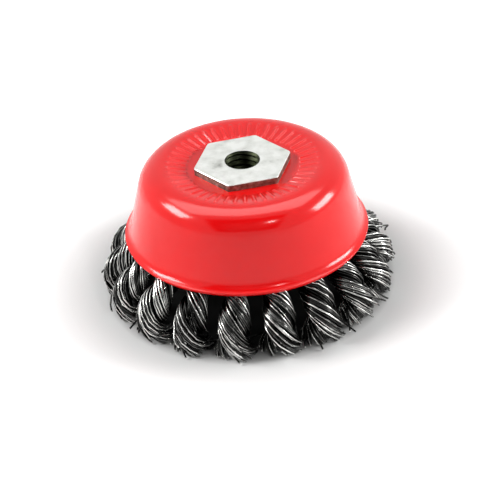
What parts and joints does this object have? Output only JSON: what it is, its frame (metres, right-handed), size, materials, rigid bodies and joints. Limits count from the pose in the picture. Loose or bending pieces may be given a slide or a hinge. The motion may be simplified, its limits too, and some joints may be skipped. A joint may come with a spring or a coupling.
{
  "type": "wire cup brush",
  "caption": "Twist-knot wire cup brush for an angle grinder: a flared pressed-steel cup with a flush hexagon nut on top and a ring of twisted steel wire knots below.",
  "frame": {"origin": "on the spindle axis, level with the trimmed wire ends that the brush stands on", "axes": "+Z along the spindle axis, out of the nut; -Y is the side that the camera sees"},
  "size_m": [0.0792, 0.0794, 0.0364],
  "materials": {
    "cup_paint": "glossy red enamel on pressed steel",
    "nut_steel": "bare machined steel",
    "sheet_steel": "bare pressed sheet",
    "wire_steel": "bright hard-drawn wire, dark in its gaps"
  },
  "bodies": {
    "root": {"cup": "cup_paint", "arbor_nut": "nut_steel", "knot_ring": "sheet_steel", "inner_cup": "sheet_steel", "knot_01": "wire_steel", "knot_02": "wire_steel", "knot_03": "wire_steel", "knot_04": "wire_steel", "knot_05": "wire_steel", "knot_06": "wire_steel", "knot_07": "wire_steel", "knot_08": "wire_steel", "knot_09": "wire_steel", "knot_10": "wire_steel", "knot_11": "wire_steel", "knot_12": "wire_steel", "knot_13": "wire_steel", "knot_14": "wire_steel", "knot_15": "wire_steel", "knot_16": "wire_steel", "knot_17": "wire_steel", "knot_18": "wire_steel"}
  },
  "joints": []
}
